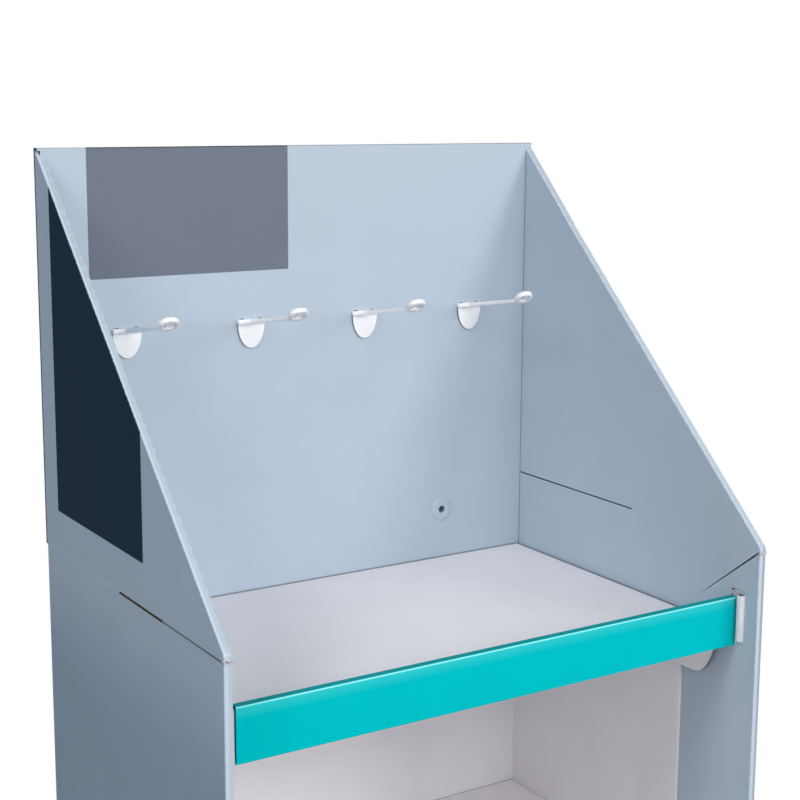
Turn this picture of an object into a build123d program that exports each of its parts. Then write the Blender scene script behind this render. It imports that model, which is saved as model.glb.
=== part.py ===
from build123d import *
import math
import os

# A free-standing shop display of folded corrugated board, on a quarter-pallet footprint.
# Origin: middle of the footprint, on the floor. Front faces -Y, +Z up, millimetres.

# Board and folds, shared by every folded sheet
board = 3.0                 # thickness of the corrugated board
fold_face = 8.0             # width of the narrow face between two creases of a double edge
fold_round = 1.2            # outside radius at a crease
seat = 0.25                 # clearance between boards that slide past each other
overrun = 10.0              # how far a cut runs past what it cuts

# Body wrap: sides, back, front returns and wings, one sheet
overall_width = 590.0
cardboard_depth = 404.0     # front plane to the outside of the header's back
return_depth = 130.0        # front returns, folded back inside the sides
seam_rise = 84.0            # crease and cut between body and wings, above the top deck
seam_opening = 1.2          # how far the cut gapes at the front corner
crease_reach = 212.0        # where the cut starts, behind the front plane
mitre_run = 110.0           # how far back the mitre of the returns reaches the top deck
wing_nose = 7.0             # height of the wing's front end above the seam
nose_round = 5.0            # soft end of the wing at the front corner
wing_drop = 4.0             # the wing's back end lies this far under the header's top
wing_flap_width = 40.0      # glue flap of the wing, inside the header's double wall
tongue_tuck = 20.0          # how far the wing's inner panel reaches below the top deck
slit_rise = 87.0            # slit in the wing's inner panel, above the top deck
slit_height = 1.5
slit_reach = 192.0          # where the slit ends, behind the front plane
bottom_flap_depth = 140.0   # side flaps folded in on the floor
back_flap_depth = 100.0     # back flap folded in on the floor

# Shelves
deck_count = 4
plinth_height = 124.0       # top of the lowest deck above the floor
deck_pitch = 300.0
tray_flap_depth = 58.5      # down-turned flaps, from the top of the deck
tray_flap_setback = 82.0    # where the side flap's lower edge starts to curve up, behind the front
tray_flap_curve_end = 13.0  # where that curve ends, under the top of the deck
tray_flap_bow = 30.0        # how long the curve's flat start is
tray_flap_end_bow = 20.0    # how long its flat end is
tab_width = 60.0            # tabs at the back of each deck
tab_offset = 140.0          # middle of a tab from the middle of the stand
ear_drop = 10.75            # lower edge of the lip's ears, under the top of the deck

# Front strips over the tray lips
strip_setback = 28.0        # strip face behind the front plane
strip_rise = 34.0           # top of the strip above the deck
strip_hang = 16.0           # bottom of the strip below the deck
strip_short = 15.5          # the strip ends this far from the left return, and meets the right one

# Slots in the returns that take the ears
slot_setback = 17.5
slot_length = 18.5
slot_rise = 41.5            # top of the slot above the deck

# White liner behind the returns
liner_setback = 104.0       # front edge of the liner, behind the front plane

# Header panel: a double wall folded over at the top
header_rise = 476.0         # header top above the top deck
skirt_drop = 74.0           # outer sheet below the seam, down the back of the body
skirt_inset = 15.0

# Plinth
kick_flap_gap = 0.5         # between the kick panel's side flap and the liner
kick_bottom_flap = 92.0
divider_end_gap = 0.5
divider_long_offset = 75.0  # lengthwise boards, from the middle of the plinth
divider_cross_offset = 178.0

# Hooks
hook_count = 4
hook_spacing = 139.0
hook_rise = 296.0           # top of the hook's plate above the top deck
plate_width = 31.0
plate_height = 30.5
plate_thickness = 2.2
ledge_height = 5.0
ledge_depth = 5.0
arm_width = 4.5
arm_height = 4.8
arm_length = 96.0           # from the ledge to the ring, measured along the arm
arm_tilt = 9.0              # degrees above level
ring_length = 22.0
ring_width = 17.0
ring_band = 4.2
ring_height = 6.5
ring_tilt = 26.0            # degrees above level
prong_width = 4.0
prong_height = 4.0
prong_offset = 10.5
barb_height = 9.0
barb_thickness = 2.2
hook_slot_headroom = 1.0    # open height of the slot above the prong
hook_round = 0.8

# Rivets that hold the header on the body
rivet_offset = 174.5
rivet_rise = 57.0           # above the top deck
rivet_head_diameter = 28.0
rivet_head_height = 2.2
rivet_shaft_diameter = 11.0
rivet_bore_diameter = 8.6
rivet_floor = 1.2
rivet_cap_diameter = 18.0
rivet_cap_height = 1.5

# Places worked out from the sizes above
half_width = overall_width / 2
front_y = -(cardboard_depth + rivet_cap_height) / 2
header_back = front_y + cardboard_depth
header_gap = board + 2 * seat
face_y = header_back - 2 * board - header_gap      # front face of the header's inner wall
body_back = header_back - board - seat             # outer face of the body's back
body_back_in = body_back - board
side_in = half_width - board                       # inner face of the outer side panel
return_in = half_width - fold_face                 # face of the return that looks inwards
return_out = return_in + board
liner_out = return_in - seat
liner_in = liner_out - board
tray_half = liner_in - seat
top_deck = plinth_height + (deck_count - 1) * deck_pitch
header_top = top_deck + header_rise
seam = top_deck + seam_rise
decks = [plinth_height + n * deck_pitch for n in range(deck_count)]
strip_front = front_y + strip_setback
lip_front = strip_front + board
lip_back = lip_front + board
strip_back = lip_back + board
deck_back = face_y - seat                          # back edge of a deck, in front of the liner
panel_back = face_y - seat                         # back edge of the wing's inner panel


def block(x0, x1, y0, y1, z0, z1):
    """A box between two corners."""
    return Pos((x0 + x1) / 2, (y0 + y1) / 2, (z0 + z1) / 2) * Box(x1 - x0, y1 - y0, z1 - z0)


def side_plate(points, x0, x1):
    """A board standing in the YZ plane between x0 and x1, from its (y, z) outline."""
    outline = make_face(Polyline(*points, close=True))
    return extrude(Plane.YZ.offset(x0) * outline, x1 - x0)


def both_sides(solid):
    """The solid and its mirror image on the other side of the stand."""
    return solid + mirror(solid, about=Plane.YZ)


def wing_edge(y):
    """Height of the wing's sloped edge at depth y."""
    slope = (header_top - wing_drop - seam - wing_nose) / (body_back - front_y)
    return seam + wing_nose + slope * (y - front_y)


def along(part, axis, tolerance=0.02):
    """Straight edges of the part that run along the axis."""
    return part.edges().filter_by(axis, tolerance=tolerance)


def body_section():
    """Plan of the body: side, double front edge, return and back, with round creases."""
    half = make_face(Polyline(
        (0, body_back),
        (half_width, body_back),
        (half_width, front_y),
        (return_in, front_y),
        (return_in, front_y + return_depth),
        (return_out, front_y + return_depth),
        (return_out, front_y + board),
        (side_in, front_y + board),
        (side_in, body_back_in),
        (0, body_back_in),
        close=True,
    ))
    creases = [
        v for v in half.vertices()
        if v.X > return_in - seat and (v.Y < front_y + seat or v.Y > body_back - seat)
    ]
    half = fillet(creases, fold_round)
    return half + mirror(half, about=Plane.YZ)


def return_mitre():
    """What is cut off the top of a return, so that the wing's inner panel has room."""
    tongue_foot = top_deck - tongue_tuck - seat
    return side_plate(
        [
            (front_y + board, seam),
            (front_y + mitre_run, top_deck),
            (front_y + mitre_run, tongue_foot),
            (front_y + return_depth + overrun, tongue_foot),
            (front_y + return_depth + overrun, seam + overrun),
            (front_y + board, seam + overrun),
        ],
        return_in - overrun,
        (return_out + side_in) / 2,
    )


def wing():
    """The right wing: outer panel, sloped double edge and inner panel with its tongue."""
    cut_front = seam + seam_opening
    wedge = side_plate(
        [
            (front_y, cut_front),
            (front_y, wing_edge(front_y)),
            (body_back, wing_edge(body_back)),
            (body_back, seam),
            (front_y + crease_reach, seam),
        ],
        return_in,
        half_width,
    )
    nose = [
        e for e in along(wedge, Axis.X)
        if e.center().Y < front_y + seat and e.center().Z > cut_front + seat
    ]
    wedge = fillet(nose, nose_round)
    sloped = [
        e for e in wedge.edges()
        if e.center().Z > wing_edge(e.center().Y) - nose_round and e.length > wing_nose
    ]
    wedge = fillet(sloped, fold_round)

    # hollow between the outer panel and the inner panel
    drop = board / math.cos(math.atan2(wing_edge(body_back) - wing_edge(front_y), body_back - front_y))
    wedge -= side_plate(
        [
            (front_y + board, seam - overrun),
            (front_y + board, wing_edge(front_y + board) - drop),
            (body_back + overrun, wing_edge(body_back + overrun) - drop),
            (body_back + overrun, seam - overrun),
        ],
        return_out,
        side_in,
    )
    # the inner panel stops in front of the header's wall
    wedge -= block(
        return_in - overrun, side_in, panel_back, body_back + overrun, seam - overrun, header_top
    )
    tongue = side_plate(
        [
            (front_y + board + seat, seam + seam_opening),
            (front_y + mitre_run + seat, top_deck),
            (front_y + mitre_run + seat, top_deck - tongue_tuck),
            (panel_back, top_deck - tongue_tuck),
            (panel_back, seam + wing_nose),
            (front_y + board + seat, seam + wing_nose),
        ],
        return_in,
        return_out,
    )
    slit = block(
        return_in - overrun,
        (return_out + side_in) / 2,
        front_y + slit_reach,
        panel_back + overrun,
        top_deck + slit_rise,
        top_deck + slit_rise + slit_height,
    )
    glue_flap = block(
        half_width - wing_flap_width,
        side_in,
        body_back_in,
        body_back,
        seam - board,
        wing_edge(body_back) - board,
    )
    return wedge + tongue + glue_flap - slit


def body_wrap():
    """Sides, back, returns, wings and bottom flaps, folded from one sheet."""
    shell = extrude(body_section(), seam)
    shell -= both_sides(return_mitre())
    shell += both_sides(wing())

    # bottom flaps on the floor
    flap_front = front_y + return_depth + overrun
    flap_back = body_back_in - board
    shell += both_sides(block(
        side_in - bottom_flap_depth, side_in, flap_front, flap_back, 0, board
    ))
    back_flap_half = side_in - bottom_flap_depth - board
    shell += block(
        -back_flap_half, back_flap_half, body_back_in - back_flap_depth, body_back_in, 0, board
    )
    for deck in decks:
        shell -= both_sides(block(
            return_in - overrun,
            (return_out + side_in) / 2,
            front_y + slot_setback,
            front_y + slot_setback + slot_length,
            deck - ear_drop - seat,
            deck + slot_rise,
        ))
        shell -= tab_slots(deck)
    shell -= rivet_holes()
    return shell


def tab_slots(deck):
    """Slots in the back walls for the tabs of one deck."""
    half = tab_width / 2 + seat
    return both_sides(block(
        tab_offset - half,
        tab_offset + half,
        face_y - overrun,
        header_back + overrun,
        deck - board - seat,
        deck + seat,
    ))


def rivet_holes():
    """Round holes for the two rivets, through every wall at the header's foot."""
    place = Pos(rivet_offset, (face_y + header_back) / 2, top_deck + rivet_rise)
    length = header_back - face_y + 2 * overrun
    bore = Cylinder(rivet_shaft_diameter / 2 + seat, length, rotation=(90, 0, 0))
    return both_sides(place * bore)


def header_panel():
    """The header's back: a sheet folded over at the top, with slots for the hooks."""
    inner_half = side_in - seat
    outer = make_face(Polyline(
        (face_y, header_top - board),
        (face_y, header_top),
        (header_back, header_top),
        (header_back, seam),
        (header_back - board, seam),
        (header_back - board, header_top - board),
        close=True,
    ))
    creases = [v for v in outer.vertices() if v.Y > header_top - seat]
    outer = fillet(creases, fold_round)
    panel = extrude(Plane.YZ.offset(-half_width) * outer, overall_width)
    panel += block(
        -inner_half, inner_half, face_y, face_y + board, top_deck, header_top - board
    )
    skirt_half = half_width - skirt_inset
    panel += block(
        -skirt_half, skirt_half, header_back - board, header_back, seam - skirt_drop, seam
    )
    for x in hook_places():
        panel -= Pos(x, 0, 0) * hook_slots()
    return panel - rivet_holes()


def hook_places():
    """Middles of the hooks, spread evenly about the middle of the stand."""
    first = -(hook_count - 1) * hook_spacing / 2
    return [first + n * hook_spacing for n in range(hook_count)]


def prong_top():
    """Upper face of a hook's prongs."""
    return top_deck + hook_rise


def hook_slots():
    """The pair of slots that one hook hangs in."""
    half = prong_width / 2 + seat
    return both_sides(block(
        prong_offset - half,
        prong_offset + half,
        face_y - overrun,
        face_y + board + seat,
        prong_top() - prong_height - seat,
        prong_top() + hook_slot_headroom,
    ))


def hook():
    """A moulded hook: half-oval plate, ledge, rising arm, closed ring, and two barbed prongs."""
    top = prong_top()
    half = plate_width / 2
    rim = make_face(Polyline(
        (-half, 0), (half, 0), (half, -ledge_height), (-half, -ledge_height), close=True
    ))
    oval = Pos(0, -ledge_height) * Ellipse(half, plate_height - ledge_height)
    keep = Pos(0, -ledge_height - plate_height / 2) * Rectangle(plate_width, plate_height)
    outline = rim + (oval & keep)
    front = Plane(origin=(0, face_y, top), x_dir=(1, 0, 0), z_dir=(0, -1, 0))
    plate = extrude(front * outline, plate_thickness)
    ledge = block(-half, half, face_y - ledge_depth, face_y, top - ledge_height, top)
    ledge_edges = [e for e in along(ledge, Axis.X) if e.center().Y < face_y - seat]
    part = plate + fillet(ledge_edges, hook_round)

    # arm: a bar that rises towards the shopper
    root = face_y - ledge_depth / 2
    mid_z = top - ledge_height / 2
    rise = math.radians(arm_tilt)
    reach = arm_length + ledge_depth / 2
    bar = Box(arm_width, reach, arm_height, align=(Align.CENTER, Align.MAX, Align.CENTER))
    bar = fillet(along(bar, Axis.Y), hook_round)
    part += Pos(0, root, mid_z) * Rot(-arm_tilt, 0, 0) * bar

    # ring: starts where the arm ends and tilts up more steeply
    end_y = root - reach * math.cos(rise)
    end_z = mid_z + reach * math.sin(rise)
    ring = extrude(ring_face(), ring_height / 2, both=True)
    rim_edges = [
        e for flat in ring.faces().filter_by(Axis.Z) for e in flat.outer_wire().edges()
    ]
    ring = chamfer(rim_edges, hook_round)
    part += Pos(0, end_y, end_z) * Rot(-ring_tilt, 0, 0) * ring

    # prongs through the slots, with barbs turned up behind the wall
    back = face_y + board + seat + barb_thickness
    prong = block(
        prong_offset - prong_width / 2,
        prong_offset + prong_width / 2,
        face_y - plate_thickness,
        back,
        top - prong_height,
        top,
    )
    barb = block(
        prong_offset - prong_width / 2,
        prong_offset + prong_width / 2,
        back - barb_thickness,
        back,
        top - prong_height,
        top + barb_height,
    )
    return part + both_sides(prong + barb)


def ring_face():
    """Flat outline of the hook's oblong ring, from y = 0 forwards."""
    middle = -ring_length / 2 + ring_band
    outer = SlotOverall(ring_length, ring_width, rotation=90)
    inner = SlotOverall(ring_length - 2 * ring_band, ring_width - 2 * ring_band, rotation=90)
    return Pos(0, middle) * (outer - inner)


def tray(deck):
    """A shelf tray: deck, front lip with ears, side flaps, back flap and back tabs."""
    half = tray_half
    foot = deck - tray_flap_depth
    section = make_face(Polyline(
        (-half, foot),
        (-half, deck),
        (half, deck),
        (half, foot),
        (half - board, foot),
        (half - board, deck - board),
        (board - half, deck - board),
        (board - half, foot),
        close=True,
    ))
    creases = [v for v in section.vertices() if v.Y > deck - seat]
    section = fillet(creases, fold_round)
    cross = Plane(origin=(0, deck_back, 0), x_dir=(1, 0, 0), z_dir=(0, -1, 0))
    part = extrude(cross * section, deck_back - lip_front)
    part -= tray_flap_cut(deck)

    # notches between the side flaps and the back flap
    part -= both_sides(block(
        half - board - seat,
        half + overrun,
        deck_back - board - seat,
        deck_back + overrun,
        foot - overrun,
        deck - board,
    ))
    part += block(board - half, half - board, deck_back - board, deck_back, foot, deck - board)

    # front lip, with an ear at each end that stands in the slot of the return
    ear_end = side_in - seat
    lip_top = deck + strip_rise - board - seat
    part += block(-ear_end, ear_end, lip_front, lip_back, deck - board, lip_top)
    part += both_sides(block(half, ear_end, lip_front, lip_back, deck - ear_drop, lip_top))

    # tabs through the liner and the body's back
    part += both_sides(block(
        tab_offset - tab_width / 2,
        tab_offset + tab_width / 2,
        deck_back - board,
        body_back,
        deck - board,
        deck,
    ))
    return part


def tray_flap_cut(deck):
    """What is cut from the front of the side flaps: they curve up to the strip."""
    start = front_y + tray_flap_setback
    foot = deck - tray_flap_depth
    end_y = lip_back + board
    end_z = deck - tray_flap_curve_end
    curve = Bezier(
        (start, foot),
        (start - tray_flap_bow, foot),
        (end_y + tray_flap_end_bow, end_z),
        (end_y, end_z),
    )
    rest = Polyline(
        (end_y, end_z),
        (end_y, deck - board),
        (lip_front - overrun, deck - board),
        (lip_front - overrun, foot - overrun),
        (start, foot - overrun),
        (start, foot),
    )
    outline = make_face(curve + rest)
    return extrude(Plane.YZ.offset(-half_width) * outline, overall_width)


def strip(deck):
    """A printed strip folded over the lip of a tray."""
    top = deck + strip_rise
    section = make_face(Polyline(
        (strip_front, deck - strip_hang),
        (strip_front, top),
        (strip_back, top),
        (strip_back, deck),
        (lip_back, deck),
        (lip_back, top - board),
        (lip_front, top - board),
        (lip_front, deck - strip_hang),
        close=True,
    ))
    creases = [v for v in section.vertices() if v.Y > top - seat]
    section = fillet(creases, fold_round)
    left = strip_short - liner_out
    return extrude(Plane.YZ.offset(left) * section, liner_out - left)


def liner():
    """The white inner wrap: back and two sides, from the bottom flaps up to the top deck."""
    half = make_face(Polyline(
        (0, face_y + board),
        (liner_out, face_y + board),
        (liner_out, front_y + liner_setback),
        (liner_in, front_y + liner_setback),
        (liner_in, face_y),
        (0, face_y),
        close=True,
    ))
    corner = [v for v in half.vertices() if v.X > liner_out - seat and v.Y > face_y + seat]
    half = fillet(corner, fold_round)
    section = half + mirror(half, about=Plane.YZ)
    part = extrude(Pos(0, 0, board) * section, top_deck - board)
    for deck in decks:
        part -= tab_slots(deck)
    return part


def kick_panel():
    """Closes the plinth's front: a panel with side flaps and a bottom flap."""
    side_back = front_y + liner_setback - kick_flap_gap
    top = plinth_height - board
    half = make_face(Polyline(
        (0, lip_front),
        (liner_out, lip_front),
        (liner_out, side_back),
        (liner_out - board, side_back),
        (liner_out - board, lip_back),
        (0, lip_back),
        close=True,
    ))
    corner = [v for v in half.vertices() if v.X > liner_out - seat and v.Y < lip_front + seat]
    half = fillet(corner, fold_round)
    section = half + mirror(half, about=Plane.YZ)
    part = extrude(section, top)
    # the side flaps clear the flaps and ears of the lowest tray
    part -= both_sides(block(
        liner_in - board - seat,
        half_width,
        lip_back,
        side_back + overrun,
        plinth_height - tray_flap_depth - seat,
        plinth_height,
    ))
    part -= both_sides(block(
        tray_half - seat,
        half_width,
        lip_front - overrun,
        lip_back + overrun,
        plinth_height - ear_drop - seat,
        plinth_height,
    ))
    inside = liner_out - board - seat
    part += block(-inside, inside, lip_back - seat, lip_back + kick_bottom_flap, 0, board)
    return part


def divider_long(y):
    """A lengthwise board of the plinth's cross support, slotted from above."""
    half = tray_half - board - divider_end_gap
    top = plinth_height - board
    part = block(-half, half, y - board / 2, y + board / 2, board, top)
    for x in cross_places():
        part -= block(
            x - board / 2 - seat, x + board / 2 + seat, y - board, y + board, (top + board) / 2, top
        )
    return part


def divider_cross(x):
    """A board of the plinth's cross support that runs from front to back, slotted from below."""
    top = plinth_height - board
    front = lip_back + divider_end_gap
    back = deck_back - board - divider_end_gap
    part = block(x - board / 2, x + board / 2, front, back, board, top)
    for y in long_places():
        part -= block(
            x - board, x + board, y - board / 2 - seat, y + board / 2 + seat, board, (top + board) / 2
        )
    return part


def long_places():
    """Depths of the lengthwise boards."""
    return [-divider_long_offset, divider_long_offset]


def cross_places():
    """Places of the boards that run from front to back."""
    return [-divider_cross_offset, 0, divider_cross_offset]


def rivet():
    """A hollow plastic rivet: flat round head, tubular shaft, and a cap behind."""
    head = rivet_head_diameter / 2
    shaft = rivet_shaft_diameter / 2
    bore = rivet_bore_diameter / 2
    cap = rivet_cap_diameter / 2
    grip = header_back - face_y
    profile = make_face(Polyline(
        (head, 0),
        (head, -rivet_head_height),
        (bore, -rivet_head_height),
        (bore, grip - rivet_floor),
        (0, grip - rivet_floor),
        (0, grip + rivet_cap_height),
        (cap, grip + rivet_cap_height),
        (cap, grip),
        (shaft, grip),
        (shaft, 0),
        close=True,
    ))
    return revolve(profile, axis=Axis.Y)


def build():
    """All the pieces of the stand by name."""
    pieces = {"body_wrap": body_wrap(), "header_panel": header_panel(), "inner_liner": liner()}
    for n, deck in enumerate(decks, start=1):
        pieces[f"shelf_tray_{n}"] = tray(deck)
        pieces[f"front_strip_{n}"] = strip(deck)
    for n, x in enumerate(hook_places(), start=1):
        pieces[f"hook_{n}"] = Pos(x, 0, 0) * hook()
    for name, side in (("left", -1), ("right", 1)):
        place = Pos(side * rivet_offset, face_y, top_deck + rivet_rise)
        pieces[f"rivet_{name}"] = place * rivet()
    pieces["kick_panel"] = kick_panel()
    for n, y in enumerate(long_places(), start=1):
        pieces[f"divider_long_{n}"] = divider_long(y)
    for n, x in enumerate(cross_places(), start=1):
        pieces[f"divider_cross_{n}"] = divider_cross(x)
    return pieces


os.makedirs("parts", exist_ok=True)
for name, piece in build().items():
    export_step(piece, f"parts/{name}.step")
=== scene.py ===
"""Finishes of a cardboard display stand: printed and white boards, moulded hooks and rivets, torn cuts."""
import math

import bmesh
import bpy
from mathutils import Matrix, Vector


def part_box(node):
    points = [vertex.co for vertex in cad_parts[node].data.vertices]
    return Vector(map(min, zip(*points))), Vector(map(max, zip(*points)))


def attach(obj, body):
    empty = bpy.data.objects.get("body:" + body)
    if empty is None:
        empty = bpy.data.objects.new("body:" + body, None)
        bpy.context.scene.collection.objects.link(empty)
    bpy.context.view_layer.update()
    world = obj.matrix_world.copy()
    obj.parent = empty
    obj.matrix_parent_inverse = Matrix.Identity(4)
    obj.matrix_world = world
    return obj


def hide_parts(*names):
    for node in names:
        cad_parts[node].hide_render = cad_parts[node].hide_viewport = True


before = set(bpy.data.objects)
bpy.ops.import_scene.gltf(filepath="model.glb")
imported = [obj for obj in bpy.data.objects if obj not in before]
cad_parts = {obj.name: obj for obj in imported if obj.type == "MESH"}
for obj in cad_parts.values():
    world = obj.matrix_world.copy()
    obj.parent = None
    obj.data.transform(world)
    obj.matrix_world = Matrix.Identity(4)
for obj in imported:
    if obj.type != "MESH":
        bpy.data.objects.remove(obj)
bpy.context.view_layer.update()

bl_info = {
    "name": "Cardboard display stand",
    "version": (1, 0, 0),
    "blender": (4, 5, 0),
    "location": "3D View > Sidebar > Stand",
    "description": "Dresses the packed display stand with its boards, hooks, rivets and torn edges",
    "category": "Object",
}

MM = 0.001

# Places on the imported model, in metres
FACE = 191.75 * MM          # front of the header's inner wall
FRONT = -202.75 * MM        # narrow front faces of the body
SIDE = 295.0 * MM           # outer side panels
RETURN = 287.0 * MM         # returns and inner panels, the side that is seen
SEAM = 1108.0 * MM          # crease and cut between body and wings
TOP_DECK = 1024.0 * MM
HEADER_TOP = 1500.0 * MM
HOOK_TOP = 1320.0 * MM      # upper face of a hook's ledge
CREASE_END = 9.25 * MM      # where the seam changes from a crease to a tear
TEAR_START = -84.0 * MM     # where the tear changes to a clean cut
WING_FOOT = 1115.0 * MM     # the wing's sloped edge at the front
WING_SLOPE = 0.9507         # rise of that edge for each metre towards the back
SLOPE_LEAN = math.hypot(1, WING_SLOPE)
SLOPE_FACING = (0, -WING_SLOPE / SLOPE_LEAN, 1 / SLOPE_LEAN)    # the way the sloped strips face
OUTSIDE = 294.4 * MM        # what lies further out is the print of an outer side
FRONT_ZONE = -195.0 * MM    # what lies further forward is a front face
RIVET_SIDE = 174.5 * MM     # axes of the rivets, from the middle
RIVET_RISE = 1081.0 * MM
DECK_PITCH = 300.0 * MM
BOARD = 3.0 * MM
FLUTE_TURN = 2 * math.pi / (6.5 * MM)   # one turn of a wave for each flute of B-flute board
FIELD_FRONT = -45 * MM      # navy field on the wings' outsides
FIELD_BACK = 164 * MM
FIELD_FOOT = 1149.5 * MM


def linear(code):
    """Turns an sRGB hex value into the linear colour that Blender works in."""
    parts = [int(code[n:n + 2], 16) / 255 for n in (1, 3, 5)]
    return tuple(c / 12.92 if c <= 0.04045 else ((c + 0.055) / 1.055) ** 2.4 for c in parts) + (1.0,)


def colour_choice(name, about, code):
    """A colour that the panel shows."""
    return bpy.props.FloatVectorProperty(
        name=name, description=about, subtype="COLOR", size=4, min=0, max=1, default=linear(code))


def length_choice(name, about, size):
    """A length in millimetres that the panel shows."""
    return bpy.props.FloatProperty(
        name=name, description=about, subtype="DISTANCE", unit="LENGTH", default=size * MM)


def angle_choice(name, about, degrees):
    """An angle that the panel shows."""
    return bpy.props.FloatProperty(
        name=name, description=about, subtype="ANGLE", unit="ROTATION", default=math.radians(degrees))


class StandColours(bpy.types.PropertyGroup):
    """Colours of the boards and mouldings."""
    panel: colour_choice("Panel print", "Blue-grey print of the body and the header", "#b8c6d4")
    side_print: colour_choice("Side print", "Blue-grey print of the outer sides above the seam", "#b2c6db")
    side_low: colour_choice(
        "Side print, low", "Deeper blue-grey that the outer sides fade to below the seam", "#96aec3")
    header_field: colour_choice("Header field", "Plain grey field at the top left of the header", "#6d7585")
    wing_field: colour_choice("Wing field", "Plain navy field on the outside of each wing", "#133046")
    white_board: colour_choice("White board", "Unprinted white top liner of the trays", "#f5f2f5")
    strip: colour_choice("Strip print", "Turquoise print of the shelf strips", "#00bec5")
    kraft: colour_choice("Kraft", "Brown fluting paper that shows at cuts and tears", "#8a6c50")
    hook: colour_choice("Hook plastic", "White polypropylene of the hooks", "#fdfdff")
    rivet: colour_choice(
        "Rivet plastic", "Natural polyethylene of the rivets, which takes the panel's colour", "#b8c6d4")
    floor: colour_choice("Floor", "Pale studio floor", "#f4f4f4")


class StandSizes(bpy.types.PropertyGroup):
    """Sizes of the moulded pieces."""
    tongue_width: length_choice("Tongue width", "Across the hook's plate", 31)
    tongue_drop: length_choice("Tongue drop", "From the ledge down to the round end of the plate", 25.5)
    tongue_thickness: length_choice("Tongue thickness", "Thickness of the hook's plate", 2.2)
    ledge: length_choice("Ledge", "Height and depth of the ledge along the top of the plate", 5)
    arm_reach: length_choice("Arm reach", "From the middle of the ledge to the ring, along the arm", 100)
    arm_width: length_choice("Arm width", "Across the arm at its root", 4.8)
    arm_tilt: angle_choice("Arm tilt", "Rise of the arm above level", 9)
    ring_length: length_choice("Ring length", "Outside size of the oval ring along the arm", 18)
    ring_width: length_choice("Ring width", "Outside size of the oval ring across the arm", 21)
    ring_band: length_choice("Ring band", "Width of the ring's band, seen from above", 4.4)
    ring_height: length_choice("Ring height", "Thickness of the ring", 5.2)
    ring_tilt: angle_choice("Ring tilt", "Rise of the ring above level", 41)
    hook_spacing: length_choice("Hook spacing", "Between the middles of two hooks", 139)
    rivet_head: length_choice("Rivet head", "Diameter of the rivet's head", 28)


def put(tree, kind, inputs=None, **settings):
    """Adds one node, with its settings by name and its inputs by name, each a value, a socket or a node."""
    made = tree.nodes.new(kind)
    for name, value in settings.items():
        setattr(made, name, value)
    for name, value in (inputs or {}).items():
        ends = [s for s in made.inputs if s.enabled]
        end = ends[name] if isinstance(name, int) else next(s for s in ends if s.name == name)
        if isinstance(value, bpy.types.Node):
            value = next(s for s in value.outputs if s.enabled)
        if isinstance(value, bpy.types.NodeSocket):
            tree.links.new(value, end)
        else:
            end.default_value = value
    return made


def new_finish(name):
    """A new material: its node tree, its surface shader, and where a point lies and which way it faces."""
    material = bpy.data.materials.new(name)
    material.use_nodes = True
    tree = material.node_tree
    tree.nodes.clear()
    shader = put(tree, "ShaderNodeBsdfPrincipled")
    put(tree, "ShaderNodeOutputMaterial", {"Surface": shader})
    spot = put(tree, "ShaderNodeTexCoord").outputs["Object"]
    place = put(tree, "ShaderNodeSeparateXYZ", {0: spot}).outputs
    facing = put(tree, "ShaderNodeNewGeometry").outputs["Normal"]
    turned = put(tree, "ShaderNodeSeparateXYZ", {0: facing}).outputs
    flat = put(tree, "ShaderNodeSeparateXYZ", {0: put(
        tree, "ShaderNodeVectorMath", {0: facing}, operation="ABSOLUTE")}).outputs
    return material, tree, shader, {
        "spot": spot, "x": place["X"], "y": place["Y"], "z": place["Z"],
        "half": calc(tree, "ABSOLUTE", place["X"]),
        "facing": facing, "facing_side": flat["X"], "facing_front": flat["Y"], "facing_level": flat["Z"],
        "turned_x": turned["X"], "turned_y": turned["Y"], "turned_z": turned["Z"],
    }


def calc(tree, operation, *values):
    """One math node on its values."""
    return put(tree, "ShaderNodeMath", dict(enumerate(values)), operation=operation)


def ramp(tree, value, low, high, first=0.0, last=1.0, **settings):
    """Carries a value from one range over to another, and holds it at the ends."""
    return put(tree, "ShaderNodeMapRange", {
        "Value": value, "From Min": low, "From Max": high, "To Min": first, "To Max": last}, **settings)


def mix(tree, factor, first, second, kind="RGBA"):
    """The first colour or number, and the second over it by the factor."""
    return put(tree, "ShaderNodeMix", {"Factor": factor, "A": first, "B": second}, data_type=kind)


def lay_over(tree, colour, *marks):
    """Lays marks over a colour in turn, each with its mask, its weight and its own colour."""
    for mask, weight, over in marks:
        colour = mix(tree, calc(tree, "MULTIPLY", mask, weight), colour, over)
    return colour


def shaded(tree, colour, tone):
    """A colour times a tone that changes from point to point."""
    return put(tree, "ShaderNodeMix", {"Factor": 1.0, "A": colour, "B": put(
        tree, "ShaderNodeCombineXYZ", {0: tone, 1: tone, 2: tone})}, data_type="RGBA", blend_type="MULTIPLY")


def shade_of(colour, share):
    """A darker or lighter version of a colour."""
    return tuple(min(1.0, c * share) for c in tuple(colour)[:3]) + (1.0,)


def above(tree, value, limit, soft=0.2 * MM):
    """1 where the value is over the limit and 0 under it, with a soft step."""
    return ramp(tree, value, limit - soft / 2, limit + soft / 2)


def below(tree, value, limit, soft=0.2 * MM):
    """1 where the value is under the limit and 0 over it, with a soft step."""
    return ramp(tree, value, limit - soft / 2, limit + soft / 2, 1.0, 0.0)


def all_of(tree, first, *others):
    """Product of several factors."""
    for other in others:
        first = calc(tree, "MULTIPLY", first, other)
    return first


def any_of(tree, first, *others):
    """Largest of several factors."""
    for other in others:
        first = calc(tree, "MAXIMUM", first, other)
    return first


def between(tree, value, low, high, soft=0.2 * MM):
    """1 where the value lies between two limits."""
    return all_of(tree, above(tree, value, low, soft), below(tree, value, high, soft))


def faces(tree, at, way, least=0.7):
    """1 where the surface faces sideways, to the front or back, or up or down."""
    return above(tree, at["facing_" + way], least, 0.05)


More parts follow.
